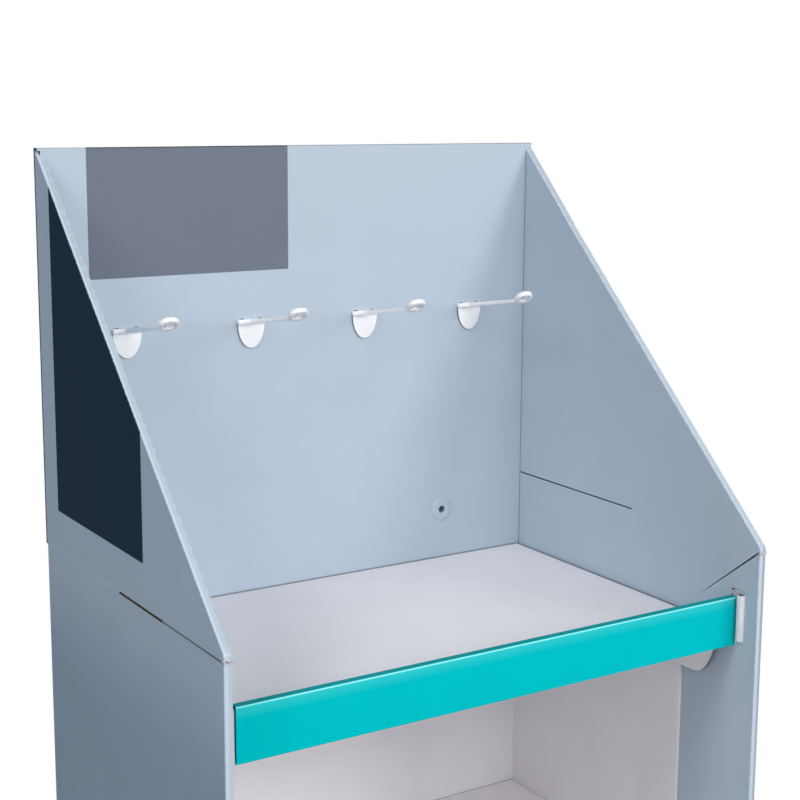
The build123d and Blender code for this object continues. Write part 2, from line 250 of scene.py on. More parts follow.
def away(tree, value, place):
    """How far a value is from a place, either way."""
    return calc(tree, "ABSOLUTE", calc(tree, "SUBTRACT", value, place))


def along(tree, vector, direction):
    """How far a vector reaches along a direction."""
    product = put(tree, "ShaderNodeVectorMath", {0: vector, 1: direction}, operation="DOT_PRODUCT")
    return product.outputs["Value"]


def speckle(tree, spot, size, low, high, detail=3.0):
    """Noise with features of a real size, stretched between two levels of the raw noise."""
    noise = put(tree, "ShaderNodeTexNoise", {"Vector": spot, "Scale": 1 / size, "Detail": detail})
    return ramp(tree, noise, low, high)


def join_up(tree, shader, colour, rough, height=None, depth=0.0):
    """Joins a finish's colour, roughness and relief to its surface shader."""
    tree.links.new(colour.outputs[2], shader.inputs["Base Color"])
    tree.links.new(rough.outputs[0], shader.inputs["Roughness"])
    if height:
        relief = put(tree, "ShaderNodeBump", {"Strength": 1.0, "Distance": depth, "Height": height})
        tree.links.new(relief.outputs["Normal"], shader.inputs["Normal"])


def level_run(tree, at):
    """The level coordinate that runs along an upright panel, and along x on a deck."""
    return mix(tree, faces(tree, at, "side"), at["x"], at["y"], "FLOAT")


def sheet_depth(tree, value, origin, pitch):
    """How deep a point lies in a sheet, for sheets that stand one pitch apart from the first one's face."""
    return calc(tree, "FLOORED_MODULO", calc(tree, "SUBTRACT", value, origin), pitch)


def washboard(tree, run):
    """Height of the flutes that show through the liner: one wave for each flute."""
    return calc(tree, "SINE", calc(tree, "MULTIPLY", run, FLUTE_TURN))


def crease_wear(tree, at, amount):
    """Whitening where the liner cracks over a rounded crease, which faces along none of the flat faces."""
    sloped = calc(tree, "ABSOLUTE", along(tree, at["facing"], SLOPE_FACING))
    flat = any_of(tree, at["facing_side"], at["facing_front"], at["facing_level"], sloped)
    bent = below(tree, flat, 0.93, 0.06)
    patchy = speckle(tree, at["spot"], 2.2 * MM, 0.40, 0.66)
    return calc(tree, "MULTIPLY", all_of(tree, bent, patchy), amount)


def flute_ends(tree, across, run, colours):
    """Colour of a cut edge: two liners and the brown wave of the fluting, with painted shade in the hollow in
    between.
    """
    middle = calc(tree, "SUBTRACT", across, BOARD / 2)
    wave = calc(tree, "MULTIPLY", washboard(tree, run), 1.1 * MM)
    near_wave = below(tree, away(tree, middle, wave), 0.45 * MM, 0.3 * MM)
    # painted shade: the kraft darkens away from the wave, in the hollows between the flutes
    fluting = mix(tree, near_wave, shade_of(colours.kraft, 0.3), colours.kraft)
    in_liner = above(tree, calc(tree, "ABSOLUTE", middle), 1.1 * MM, 0.15 * MM)
    return mix(tree, in_liner, fluting, colours.white_board)


def board_surface(tree, shader, at, print_colour, colours, cut, across, run, wear, gloss, shine):
    """Paper-faced corrugated board: fibre mottling, flutes that show through, worn creases and cut edges."""
    fine = speckle(tree, at["spot"], 1.6 * MM, 0.3, 0.7, 4.0)
    cloud = speckle(tree, at["spot"], 60 * MM, 0.3, 0.7, 2.0)
    mottle = calc(tree, "MULTIPLY_ADD", fine, 0.6, cloud)
    tone = ramp(tree, mottle, 0.0, 1.6, 0.975, 1.02)
    waves = washboard(tree, run)
    inked = shaded(tree, print_colour, calc(tree, "MULTIPLY_ADD", waves, 0.002, tone))
    worn = mix(tree, crease_wear(tree, at, wear), inked, colours.white_board)
    colour = mix(tree, cut, worn, flute_ends(tree, across, run, colours))
    rough = ramp(tree, fine, 0.0, 1.0, gloss - 0.04, gloss + 0.05)
    rough = calc(tree, "ADD", rough, calc(tree, "MULTIPLY", cut, 0.35))
    join_up(tree, shader, colour, rough, calc(tree, "MULTIPLY_ADD", fine, 0.12, waves), 0.01 * MM)
    shader.inputs["IOR"].default_value = 1.48
    shader.inputs["Specular IOR Level"].default_value = shine


def seam_marks(tree, at, colour, colours):
    """Seam outside: a painted highlight on the crease, a toothed tear of brown and white paper with painted
    shade in its hollow, painted shade on the cut.
    """
    outside = above(tree, at["half"], OUTSIDE)
    far = away(tree, at["z"], SEAM + 0.6 * MM)
    teeth = calc(tree, "PINGPONG", at["y"], 2.2 * MM)
    ragged = speckle(tree, at["spot"], 1.2 * MM, 0.3, 0.7, 4.0)
    reach = calc(tree, "MULTIPLY_ADD", teeth, -0.4, calc(tree, "MULTIPLY_ADD", ragged, -1.0 * MM, far))
    torn = all_of(tree, outside, above(tree, at["y"], TEAR_START, 6 * MM),
                  below(tree, at["y"], CREASE_END, 3 * MM))
    # painted shade along the cut on the outsides
    cut = all_of(tree, outside, below(tree, at["y"], -76 * MM, 10 * MM), below(tree, far, 0.9 * MM, 1.2 * MM))
    # painted highlight: a paler line along the crease
    crease = all_of(tree, outside, above(tree, at["y"], CREASE_END, 8 * MM),
                    below(tree, far, 1.3 * MM, 2 * MM))
    pale = all_of(tree, torn, below(tree, reach, 2.0 * MM, 1.4 * MM),
                  speckle(tree, at["spot"], 1.1 * MM, 0.48, 0.62, 5.0))
    brown = all_of(tree, torn, below(tree, reach, 0.5 * MM, 0.4 * MM),
                   speckle(tree, at["spot"], 3.0 * MM, 0.42, 0.60, 4.0))
    # painted shade, near black, in the hollow of the tear
    tear_hollow_shade = all_of(tree, torn, below(tree, reach, 0.0, 0.5 * MM))
    return lay_over(
        tree, colour, (crease, 0.4, shade_of(colours.panel, 1.25)), (cut, 0.55, linear("#4d5f70")),
        (pale, 0.4, colours.white_board), (brown, 0.8, shade_of(colours.kraft, 0.4)),
        (tear_hollow_shade, 0.9, linear("#2b2626")))


def mitre_marks(tree, at, colour, colours):
    """The mitre on the insides: a dark cut of painted shade that thins out towards the deck, with torn white
    specks.
    """
    front_end, run, drop = -199.75 * MM, 107 * MM, 84 * MM
    length = math.hypot(run, drop)
    line = (drop * front_end + run * SEAM) / length
    far = away(tree, along(tree, at["spot"], (0, drop / length, run / length)), line + 0.5 * MM)
    inside = all_of(tree, between(tree, at["half"], 286.6 * MM, 288.5 * MM),
                    below(tree, at["y"], -126 * MM, 16 * MM), above(tree, at["y"], -201 * MM))
    width = ramp(tree, at["y"], -200 * MM, -120 * MM, 1.1 * MM, 0.2 * MM)
    # painted shade in the gap of the mitre, thinner towards the deck
    dark = all_of(tree, inside, below(tree, calc(tree, "SUBTRACT", far, width), 0.0, 0.8 * MM))
    specks = all_of(tree, inside, below(tree, far, 2.4 * MM, 2 * MM),
                    below(tree, at["y"], -130 * MM, 10 * MM),
                    speckle(tree, at["spot"], 1.4 * MM, 0.53, 0.62, 5.0))
    return lay_over(tree, colour, (specks, 0.75, colours.white_board), (dark, 0.9, linear("#333d49")))


def fold_shading(tree, at, colour, colours):
    """Folds of the front faces and sloped strips: painted highlights on their left parts, painted shade in the
    dashed creases and on the right outer folds.
    """
    sloped = above(tree, along(tree, at["facing"], SLOPE_FACING), 0.9, 0.06)
    front = all_of(tree, above(tree, at["facing_front"], 0.8, 0.2), below(tree, at["y"], FRONT_ZONE))
    dashes = above(tree, calc(tree, "PINGPONG", at["y"], 5 * MM), 1.8 * MM, 0.6 * MM)
    inner_crease = below(tree, away(tree, at["half"], 288.2 * MM), 0.3 * MM, 0.5 * MM)
    second_crease = all_of(tree, above(tree, at["y"], 60 * MM, 60 * MM),
                           below(tree, away(tree, at["half"], 290.6 * MM), 0.3 * MM, 0.5 * MM))
    # painted shade in the dashed creases
    crease = all_of(tree, sloped, dashes, any_of(tree, inner_crease, second_crease))
    from_left = sheet_depth(tree, at["x"], -SIDE, SIDE + RETURN)
    # painted highlight along the left edge of each sloped strip
    slope_highlight = all_of(tree, sloped, below(tree, from_left, 2.2 * MM, 2.0 * MM))
    right = above(tree, at["x"], 0.0)
    # painted highlight on the left part of each front face
    front_highlight = all_of(tree, front, below(tree, from_left, 4.0 * MM, 1.6 * MM))
    # painted shade on the outer part of the right front face
    turned = all_of(tree, front, right, above(tree, from_left, 4.4 * MM, 1.2 * MM))
    # painted shade along the right side's outer folds
    shaded_rim = all_of(tree, right, any_of(tree, front, sloped), above(tree, from_left, 7.3 * MM, 0.6 * MM))
    light, dark = shade_of(colours.panel, 1.5), shade_of(colours.panel, 0.45)
    return lay_over(
        tree, colour, (slope_highlight, 0.5, light), (crease, 0.5, dark), (front_highlight, 0.3, light), (turned, 0.5, dark),
        (shaded_rim, 0.8, shade_of(colours.panel, 0.25)))


def printed_body(colours):
    """Litho print on coated liner, laminated on B flute: satin, with navy fields on the wings' outsides."""
    material, tree, shader, at = new_finish("printed_board")
    outside = above(tree, at["half"], OUTSIDE)
    slope_top = calc(tree, "MULTIPLY_ADD", at["y"], WING_SLOPE, WING_FOOT - WING_SLOPE * FRONT)
    field = all_of(tree, outside, between(tree, at["y"], FIELD_FRONT, FIELD_BACK),
                   above(tree, at["z"], FIELD_FOOT),
                   below(tree, calc(tree, "SUBTRACT", at["z"], slope_top), 4 * MM))
    fade = ramp(tree, at["z"], 970 * MM, SEAM + 2 * MM, interpolation_type="SMOOTHSTEP")
    side_print = mix(tree, fade, colours.side_low, colours.side_print)
    printed = mix(tree, field, mix(tree, outside, colours.panel, side_print), colours.wing_field)
    inside = all_of(tree, between(tree, at["half"], 289.5 * MM, 292.5 * MM), faces(tree, at, "side"))
    back_inside = all_of(tree, between(tree, at["y"], 194.5 * MM, 195.5 * MM), faces(tree, at, "front"))
    faced = mix(tree, any_of(tree, inside, back_inside), printed, shade_of(colours.white_board, 0.93))
    for marks in (seam_marks, mitre_marks, fold_shading):
        faced = marks(tree, at, faced, colours)
    # painted shade in the seam's slit and the mitre's gap: dark blue, darker towards the back
    shaded_slit = all_of(tree, between(tree, at["z"], SEAM - 2 * MM, SEAM + 5 * MM),
                     any_of(tree, faces(tree, at, "level"), inside))
    mitre = all_of(tree, between(tree, at["facing_level"], 0.6, 0.9, 0.05),
                   below(tree, at["half"], 290.4 * MM), below(tree, at["z"], SEAM + 1 * MM))
    depth = ramp(tree, at["y"], -10 * MM, 150 * MM, 0.7, 0.98)
    # the painted shade is laid on the slit and on the mitre's oblique cut faces here
    faced = mix(tree, any_of(tree, mitre, all_of(tree, shaded_slit, depth)), faced, linear("#22405f"))
    level_cut = all_of(tree, faces(tree, at, "level", 0.9), calc(tree, "SUBTRACT", 1.0, shaded_slit))
    upright_cut = all_of(tree, faces(tree, at, "front", 0.9), between(tree, at["y"], FRONT_ZONE, 194 * MM),
                         above(tree, at["half"], 286.7 * MM))
    at_back = above(tree, at["y"], 191 * MM)
    across = mix(tree, at_back, sheet_depth(tree, at["half"], RETURN, 5 * MM),
                 sheet_depth(tree, at["y"], FACE, 3.25 * MM), "FLOAT")
    run = mix(tree, faces(tree, at, "side"), mix(tree, at_back, at["y"], at["x"], "FLOAT"), at["y"], "FLOAT")
    front_face = all_of(tree, faces(tree, at, "front"), below(tree, at["y"], FRONT_ZONE))
    run = mix(tree, front_face, run, at["x"], "FLOAT")
    board_surface(tree, shader, at, faced, colours, any_of(tree, level_cut, upright_cut), across, run,
                  wear=0.35, gloss=0.45, shine=0.15)
    return material


def printed_header(colours):
    """The same litho print on the header's double wall, with a plain grey field at its top left, and painted
    shade along its corners and on its side faces.
    """
    material, tree, shader, at = new_finish("header_board")
    inner_wall = below(tree, at["y"], 196.5 * MM)
    field = all_of(tree, inner_wall, between(tree, at["x"], -246 * MM, -24 * MM),
                   above(tree, at["z"], 1370.5 * MM))
    crest = above(tree, at["z"], HEADER_TOP - 0.9 * MM, 0.8 * MM)
    # painted shade along the corners where the wings and the deck meet the header
    shaded_corners = all_of(tree, inner_wall, below(tree, at["z"], 1489 * MM), any_of(
        tree, above(tree, at["half"], 286.2 * MM, 0.8 * MM),
        below(tree, at["z"], TOP_DECK + 1.2 * MM, 0.8 * MM)))
    # the side faces are painted near black, as painted shade
    printed = lay_over(
        tree, mix(tree, field, colours.panel, colours.header_field),
        (crest, 0.45, shade_of(colours.panel, 0.4)),
        (all_of(tree, field, crest), 1.0, shade_of(colours.header_field, 0.1)),
        (shaded_corners, 0.75, shade_of(colours.panel, 0.3)),
        (faces(tree, at, "side", 0.9), 0.95, shade_of(colours.panel, 0.1)))
    inner_sides = all_of(tree, between(tree, at["y"], 193 * MM, 200 * MM), faces(tree, at, "front"))
    faced = mix(tree, inner_sides, printed, shade_of(colours.white_board, 0.93))
    cut = all_of(tree, faces(tree, at, "level", 0.9), below(tree, at["z"], 1495 * MM))
    across = mix(tree, above(tree, at["y"], 198 * MM), sheet_depth(tree, at["y"], FACE, 1.0),
                 sheet_depth(tree, at["y"], 198.25 * MM, 1.0), "FLOAT")
    board_surface(tree, shader, at, faced, colours, cut, across, at["x"], wear=0.3, gloss=0.45, shine=0.25)
    return material


def white_trays(colours):
    """Unprinted white-top testliner on B flute: matt, faintly grey, with short fibres in the surface."""
    material, tree, shader, at = new_finish("white_board")
    upright = all_of(tree, faces(tree, at, "front", 0.9), between(tree, at["y"], -160 * MM, 187 * MM))
    underneath = all_of(tree, below(tree, at["turned_z"], -0.5, 0.1), above(tree, at["half"], 280 * MM))
    # painted shade along the deck's edges at the header and the wings
    shaded_rims = all_of(tree, above(tree, at["turned_z"], 0.9, 0.05), any_of(
        tree, above(tree, at["half"], 282.6 * MM, 0.9 * MM), above(tree, at["y"], 190.4 * MM, 1.2 * MM)))
    # painted shade on the flaps' cut edges, for the shadow in the gap beside them
    shaded_flap_edge = all_of(tree, between(tree, at["half"], 279 * MM, 283.7 * MM),
                       below(tree, at["facing_side"], 0.6, 0.2), below(tree, at["turned_z"], -0.05, 0.1))
    white = lay_over(
        tree, colours.white_board, (shaded_rims, 0.9, linear("#56606f")), (shaded_flap_edge, 0.85, linear("#2c2d33")))
    cut = all_of(tree, any_of(tree, upright, underneath), below(tree, at["half"], 283.6 * MM),
                 calc(tree, "SUBTRACT", 1.0, shaded_flap_edge))
    across = sheet_depth(tree, at["half"], 280.5 * MM, 3.25 * MM)
    board_surface(tree, shader, at, white, colours, cut, across, level_run(tree, at),
                  wear=0.15, gloss=0.6, shine=0.3)
    return material


def printed_strip(colours):
    """Litho print under a glossier varnish, folded tightly over the trays' lips; painted highlights near its
    top fold, painted shade on its top and end faces.
    """
    material, tree, shader, at = new_finish("teal_board")
    cut = all_of(tree, below(tree, at["turned_z"], -0.9, 0.05), above(tree, at["y"], -171 * MM))
    across = sheet_depth(tree, at["y"], -174.75 * MM, 1.0)
    rise = sheet_depth(tree, at["z"], 108 * MM, DECK_PITCH)
    front = below(tree, at["turned_y"], -0.2, 0.2)
    # painted highlights: lighter towards the top of the front face, and a bright line along its top fold
    glow = all_of(tree, front, ramp(tree, rise, 38 * MM, 49 * MM))
    fold = all_of(tree, front, above(tree, rise, 48.6 * MM, 0.8 * MM))
    # painted shade on the top face and on the end faces
    shaded_top_face = above(tree, at["turned_z"], 0.85, 0.1)
    shaded_end_face = above(tree, at["facing_side"], 0.8, 0.1)
    paper_edge = all_of(tree, front, above(tree, at["x"], 285.8 * MM, 0.5 * MM))
    printed = lay_over(
        tree, colours.strip, (glow, 0.3, linear("#5fe0e2")), (fold, 0.8, linear("#9ff8f8")),
        (shaded_top_face, 1.0, shade_of(colours.strip, 0.66)), (shaded_end_face, 1.0, shade_of(colours.strip, 0.12)),
        (paper_edge, 0.9, colours.white_board))
    board_surface(tree, shader, at, printed, colours, cut, across, at["x"], wear=0.0, gloss=0.4, shine=0.02)
    return material


def hook_plastic(colours):
    """Injection-moulded white polypropylene: even, slightly waxy, with a fine moulded grain; painted shade on
    the plate's left and lower edges and on the ring.
    """
    material, tree, shader, at = new_finish("moulded_white_polypropylene")
    grain = speckle(tree, at["spot"], 0.5 * MM, 0.3, 0.7)
    waves = speckle(tree, at["spot"], 9 * MM, 0.3, 0.7)
    # painted shade on the plate's edge walls that face left and down
    shaded_rim = all_of(tree, above(tree, at["y"], FACE - 2.1 * MM), below(tree, at["z"], HOOK_TOP - 4 * MM),
                 below(tree, at["facing_front"], 0.6, 0.3), below(tree, at["turned_x"], 0.2, 0.4))
    # painted shade on the ring
    shaded_ring = all_of(tree, below(tree, at["y"], FACE - 96 * MM), below(tree, at["turned_y"], 0.2, 0.4),
                  below(tree, at["z"], HOOK_TOP + 18 * MM, 5 * MM))
    tinted = lay_over(
        tree, shaded(tree, colours.hook, ramp(tree, waves, 0.0, 1.0, 0.98, 1.0)),
        (shaded_rim, 1.0, shade_of(colours.panel, 0.2)), (shaded_ring, 0.35, shade_of(colours.hook, 0.45)))
    join_up(tree, shader, tinted, ramp(tree, grain, 0.0, 1.0, 0.3, 0.42), grain, 0.02 * MM)
    shader.inputs["IOR"].default_value = 1.49
    return material


def rivet_plastic(colours):
    """Natural polyethylene, cloudy enough to take on the colour of the board behind it."""
    material, tree, shader, at = new_finish("moulded_natural_polyethylene")
    cloud = speckle(tree, at["spot"], 3 * MM, 0.3, 0.7)
    from_axis = put(tree, "ShaderNodeVectorMath", {0: put(tree, "ShaderNodeCombineXYZ", {
        0: calc(tree, "SUBTRACT", at["half"], RIVET_SIDE), 2: calc(tree, "SUBTRACT", at["z"], RIVET_RISE)})},
        operation="LENGTH").outputs["Value"]
    # painted shade deep in the rivet's hole
    shaded_hole = all_of(tree, below(tree, from_axis, 3.9 * MM, 0.5 * MM), below(tree, at["y"], FACE + 7 * MM))
    tinted = mix(tree, cloud, shade_of(colours.rivet, 0.97), colours.rivet)
    tinted = mix(tree, shaded_hole, tinted, shade_of(colours.rivet, 0.13))
    join_up(tree, shader, tinted, ramp(tree, cloud, 0.0, 1.0, 0.2, 0.3))
    shader.inputs["IOR"].default_value = 1.51
    return material


def torn_paper(name, light, dark):
    """Torn paper plies: matt, fibrous, uneven in colour."""
    material, tree, shader, at = new_finish(name)
    fibre = speckle(tree, at["spot"], 0.9 * MM, 0.35, 0.65, 5.0)
    rough = ramp(tree, fibre, 0.0, 1.0, 0.8, 0.95)
    join_up(tree, shader, mix(tree, fibre, dark, light), rough, fibre, 0.15 * MM)
    return material


def studio_floor(colours):
    """Painted white board, matt."""
    material, tree, shader, at = new_finish("painted_floor")
    cloud = speckle(tree, at["spot"], 200 * MM, 0.3, 0.7)
    tinted = mix(tree, cloud, shade_of(colours.floor, 0.99), colours.floor)
    tree.links.new(tinted.outputs[2], shader.inputs["Base Color"])
    shader.inputs["Roughness"].default_value = 0.8
    return material


def wear(piece, material):
    """Gives a piece one material."""
    piece.data.materials.clear()
    piece.data.materials.append(material)


def pick(piece, kind, test):
    """Selects the points, edges or faces of the piece in edit mode for which the test holds."""
    bpy.ops.mesh.select_mode(type=kind)
    bpy.ops.mesh.select_all(action="DESELECT")
    shape = bmesh.from_edit_mesh(piece.data)
    for item in {"VERT": shape.verts, "EDGE": shape.edges, "FACE": shape.faces}[kind]:
        if test(item):
            item.select_set(True)
    bmesh.update_edit_mesh(piece.data)


def middle_of(edge):
    """Middle of an edge."""
    return (edge.verts[0].co + edge.verts[1].co) / 2


def run_of(edge):
    """Direction of an edge, without its sign."""
    along = (edge.verts[1].co - edge.verts[0].co).normalized()
    return Vector(map(abs, along))


def settle(name):
    """Names the new primitive and puts its place, turn and size in its mesh."""
    piece = bpy.context.object
    piece.name = name
    bpy.ops.object.transform_apply(location=True, rotation=True, scale=True)
    return piece


def block(name, low, high):
    """A box between two corners."""
    low, high = Vector(low), Vector(high)
    bpy.ops.object.select_all(action="DESELECT")
    bpy.ops.mesh.primitive_cube_add(size=1, location=(low + high) / 2, scale=high - low)
    return settle(name)


def round_edges(piece, width, segments=3, angle=35):
    """Rounds the sharp edges of a piece."""
    bevel = piece.modifiers.new("round_edges", "BEVEL")
    bevel.width = width
    bevel.segments = segments
    bevel.limit_method = "ANGLE"
    bevel.angle_limit = math.radians(angle)
    bpy.context.view_layer.objects.active = piece
    bpy.ops.object.modifier_apply(modifier=bevel.name)


def fuse(base, *others):
    """Joins solids into one closed mesh."""
    for other in others:
        union = base.modifiers.new("fuse", "BOOLEAN")
        union.operation = "UNION"
        union.solver = "EXACT"
        union.object = other
        bpy.context.view_layer.objects.active = base
        bpy.ops.object.modifier_apply(modifier=union.name)
        bpy.data.objects.remove(other)
    return base


def soften(piece, angle=35):
    """Smooth shading across gentle edges."""
    bpy.ops.object.select_all(action="DESELECT")
    piece.select_set(True)
    bpy.context.view_layer.objects.active = piece
    bpy.ops.object.shade_smooth_by_angle(angle=math.radians(angle))


def copy_of(piece, name, shift):
    """A copy of a piece with its own mesh, moved by a vector."""
    twin = piece.copy()
    twin.data = piece.data.copy()
    twin.name = name
    bpy.context.scene.collection.objects.link(twin)
    twin.data.transform(Matrix.Translation(shift))
    return twin


def show_as(piece, slot, *nodes):
    """Puts a finished piece on the frame, in the place of its CAD nodes."""
    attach(piece, "root")
    if nodes:
        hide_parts(*nodes)


class STAND_OT_boards(bpy.types.Operator):
    """Gives every sheet of board its print, its white liner and its cut edges."""
    bl_idname = "stand.boards"
    bl_label = "Finish the boards"

    def execute(self, context):
        colours = context.scene.stand_colours
        finishes = {
            "body_wrap": printed_body(colours), "header_panel": printed_header(colours),
            "inner_liner": white_trays(colours), "front_strip": printed_strip(colours),
        }
        finishes["kick_panel"] = finishes["body_wrap"]
        finishes["shelf_tray"] = finishes["divider"] = finishes["inner_liner"]
        for name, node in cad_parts.items():
            for start, material in finishes.items():
                if name.startswith(start):
                    wear(node, material)
        return {"FINISHED"}


def tongue(sizes, x):
    """The hook's half-oval plate with its ledge along the top."""
    half = sizes.tongue_width / 2
    level = HOOK_TOP - sizes.ledge
    bpy.ops.object.select_all(action="DESELECT")
    bpy.ops.mesh.primitive_cylinder_add(
        vertices=64, radius=1, depth=1, location=(x, FACE - sizes.tongue_thickness / 2, level),
        rotation=(math.radians(90), 0, 0), scale=(half, sizes.tongue_drop, sizes.tongue_thickness))
    piece = settle("tongue")
    bpy.ops.object.mode_set(mode="EDIT")
    bpy.ops.mesh.select_all(action="SELECT")
    bpy.ops.mesh.bisect(plane_co=(x, FACE, level), plane_no=(0, 0, 1), use_fill=True, clear_outer=True)
    pick(piece, "FACE", lambda f: f.normal.z > 0.9)
    bpy.ops.mesh.extrude_region_move(TRANSFORM_OT_translate={"value": (0, 0, sizes.ledge)})
    bpy.ops.object.mode_set(mode="OBJECT")
    round_edges(piece, 0.45 * MM, 2, 50)
    ledge = block("ledge", (x - half, FACE - sizes.ledge, level), (x + half, FACE - 0.2 * MM, HOOK_TOP))
    round_edges(ledge, 0.9 * MM)
    return fuse(piece, ledge)


def arm(sizes, x):
    """The arm: a slim bar that tapers a little towards its ring."""
    half = sizes.arm_width / 2
    piece = block("arm", (-half, -sizes.arm_reach - 1.5 * MM, -half), (half, 0, half))
    bpy.ops.object.mode_set(mode="EDIT")
    pick(piece, "FACE", lambda f: f.normal.y < -0.9)
    bpy.ops.transform.resize(value=(0.86, 1, 0.86))
    bpy.ops.object.mode_set(mode="OBJECT")
    round_edges(piece, 1.2 * MM)
    piece.data.transform(Matrix.Translation((x, FACE - sizes.ledge / 2, HOOK_TOP - sizes.ledge / 2))
                         @ Matrix.Rotation(-sizes.arm_tilt, 4, "X"))
    return piece


def ring(sizes, x):
    """The oval ring at the end of the arm, a little above its line."""
    radius = (sizes.ring_length - sizes.ring_band) / 2
    stretch = (sizes.ring_width - sizes.ring_length) / 2
    bpy.ops.object.select_all(action="DESELECT")
    bpy.ops.mesh.primitive_circle_add(vertices=40, radius=radius, fill_type="NOTHING",
                                      location=(0, 0, -sizes.ring_height / 2))
    piece = settle("ring")
    bpy.ops.object.mode_set(mode="EDIT")
    pick(piece, "VERT", lambda v: v.co.x > 0.1 * MM)
    bpy.ops.transform.translate(value=(stretch, 0, 0))
    pick(piece, "VERT", lambda v: v.co.x < -0.1 * MM)
    bpy.ops.transform.translate(value=(-stretch, 0, 0))
    bpy.ops.mesh.select_mode(type="EDGE")
    bpy.ops.mesh.select_all(action="SELECT")
    bpy.ops.mesh.extrude_region_move(TRANSFORM_OT_translate={"value": (0, 0, sizes.ring_height)})
    bpy.ops.mesh.select_all(action="SELECT")
    bpy.ops.mesh.normals_make_consistent(inside=False)
    bpy.ops.object.mode_set(mode="OBJECT")
    wall = piece.modifiers.new("wall", "SOLIDIFY")
    wall.thickness = sizes.ring_band
    wall.offset = 0
    bpy.ops.object.modifier_apply(modifier=wall.name)
    round_edges(piece, 1.1 * MM)
    root_y = FACE - sizes.ledge / 2
    end_y = root_y - sizes.arm_reach * math.cos(sizes.arm_tilt)
    end_z = HOOK_TOP - sizes.ledge / 2 + sizes.arm_reach * math.sin(sizes.arm_tilt) + 0.5 * MM
    piece.data.transform(Matrix.Translation((x, end_y, end_z)) @ Matrix.Rotation(-sizes.ring_tilt, 4, "X")
                         @ Matrix.Translation((0, sizes.ring_band - sizes.ring_length / 2, 0)))
    return piece


def prong(x, name):
    """A barbed prong that holds the hook behind the header's inner wall."""
    half, back = 2 * MM, FACE + 5.45 * MM
    piece = block(name, (x - half, FACE - 1.5 * MM, HOOK_TOP - 4 * MM), (x + half, back, HOOK_TOP))
    bpy.ops.object.mode_set(mode="EDIT")
    bpy.ops.mesh.select_all(action="SELECT")
    bpy.ops.mesh.bisect(plane_co=(x, back - 2.2 * MM, HOOK_TOP), plane_no=(0, 1, 0))
    pick(piece, "FACE", lambda f: f.normal.z > 0.9 and f.calc_center_median().y > back - 2.2 * MM)
    bpy.ops.mesh.extrude_region_move(TRANSFORM_OT_translate={"value": (0, 0, 9 * MM)})
    bpy.ops.object.mode_set(mode="OBJECT")
    return piece


class STAND_OT_hooks(bpy.types.Operator):
    """Models one moulded hook and hangs its copies along the header."""
    bl_idname = "stand.hooks"
    bl_label = "Make the hooks"

    def execute(self, context):
        sizes = context.scene.stand_sizes
        x = -1.5 * sizes.hook_spacing
        piece = fuse(tongue(sizes, x), arm(sizes, x), ring(sizes, x),
                     prong(x - 10.5 * MM, "prong_left"), prong(x + 10.5 * MM, "prong_right"))
        piece.name = "moulded_hook_1"
        soften(piece)
        wear(piece, hook_plastic(context.scene.stand_colours))
        hooks = [piece] + [
            copy_of(piece, f"moulded_hook_{n + 1}", (n * sizes.hook_spacing, 0, 0)) for n in (1, 2, 3)]
        for n, hook in enumerate(hooks, start=1):
            show_as(hook, "hook_plastic", f"hook_{n}")
        return {"FINISHED"}


class STAND_OT_rivets(bpy.types.Operator):
    """Models one dimpled plastic rivet and copies it to the other side."""
    bl_idname = "stand.rivets"
    bl_label = "Make the rivets"

    def execute(self, context):
        sizes = context.scene.stand_sizes
        low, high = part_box("rivet_left")
        middle = (low + high) / 2
        radius = sizes.rivet_head / 2
        bpy.ops.object.select_all(action="DESELECT")
        bpy.ops.mesh.primitive_cylinder_add(
            vertices=48, radius=radius, depth=0.5 * MM, location=(middle.x, FACE - 0.25 * MM, middle.z),
            rotation=(math.radians(90), 0, 0))
        piece = settle("moulded_rivet_left")
        bpy.ops.object.mode_set(mode="EDIT")
        centre = Vector((middle.x, 0, middle.z))

        def on_axis(face):
            spot = face.calc_center_median()
            return (Vector((spot.x, 0, spot.z)) - centre).length < 0.1 * MM

        pick(piece, "FACE", lambda f: f.normal.y < -0.9 and on_axis(f))
        for depth, width in ((-0.5 * MM, 1.2 * MM), (-0.45 * MM, 2.0 * MM), (-0.3 * MM, 2.6 * MM),
                             (0.1 * MM, 2.0 * MM), (0.9 * MM, 2.3 * MM)):
            bpy.ops.mesh.inset(thickness=width, depth=0)
            bpy.ops.transform.translate(value=(0, depth, 0))
        bpy.ops.mesh.extrude_region_move(TRANSFORM_OT_translate={"value": (0, 7.5 * MM, 0)})
        pick(piece, "FACE", lambda f: f.normal.y > 0.9 and on_axis(f))
        bpy.ops.mesh.inset(thickness=radius - 5.5 * MM, depth=0)
        bpy.ops.mesh.extrude_region_move(TRANSFORM_OT_translate={"value": (0, 9.5 * MM, 0)})
        bpy.ops.mesh.extrude_region_move(TRANSFORM_OT_translate={"value": (0, 0.05 * MM, 0)})
        bpy.ops.transform.resize(value=(9 / 5.5, 1, 9 / 5.5))
        bpy.ops.mesh.extrude_region_move(TRANSFORM_OT_translate={"value": (0, 1.4 * MM, 0)})
        bpy.ops.object.mode_set(mode="OBJECT")
        round_edges(piece, 0.35 * MM, 2, 50)
        soften(piece)
        wear(piece, rivet_plastic(context.scene.stand_colours))
        twin = copy_of(piece, "moulded_rivet_right", (-2 * middle.x, 0, 0))
        show_as(piece, "rivet_plastic", "rivet_left")
        show_as(twin, "rivet_plastic", "rivet_right")
        return {"FINISHED"}


def side_block(name, side, reach, half, depth, rise):
    """A box on one side: how far out its middle lies, half its thickness, and its ends in depth and rise."""
    middle = side * reach
    return block(name, (middle - half, depth[0], rise[0]), (middle + half, depth[1], rise[1]))


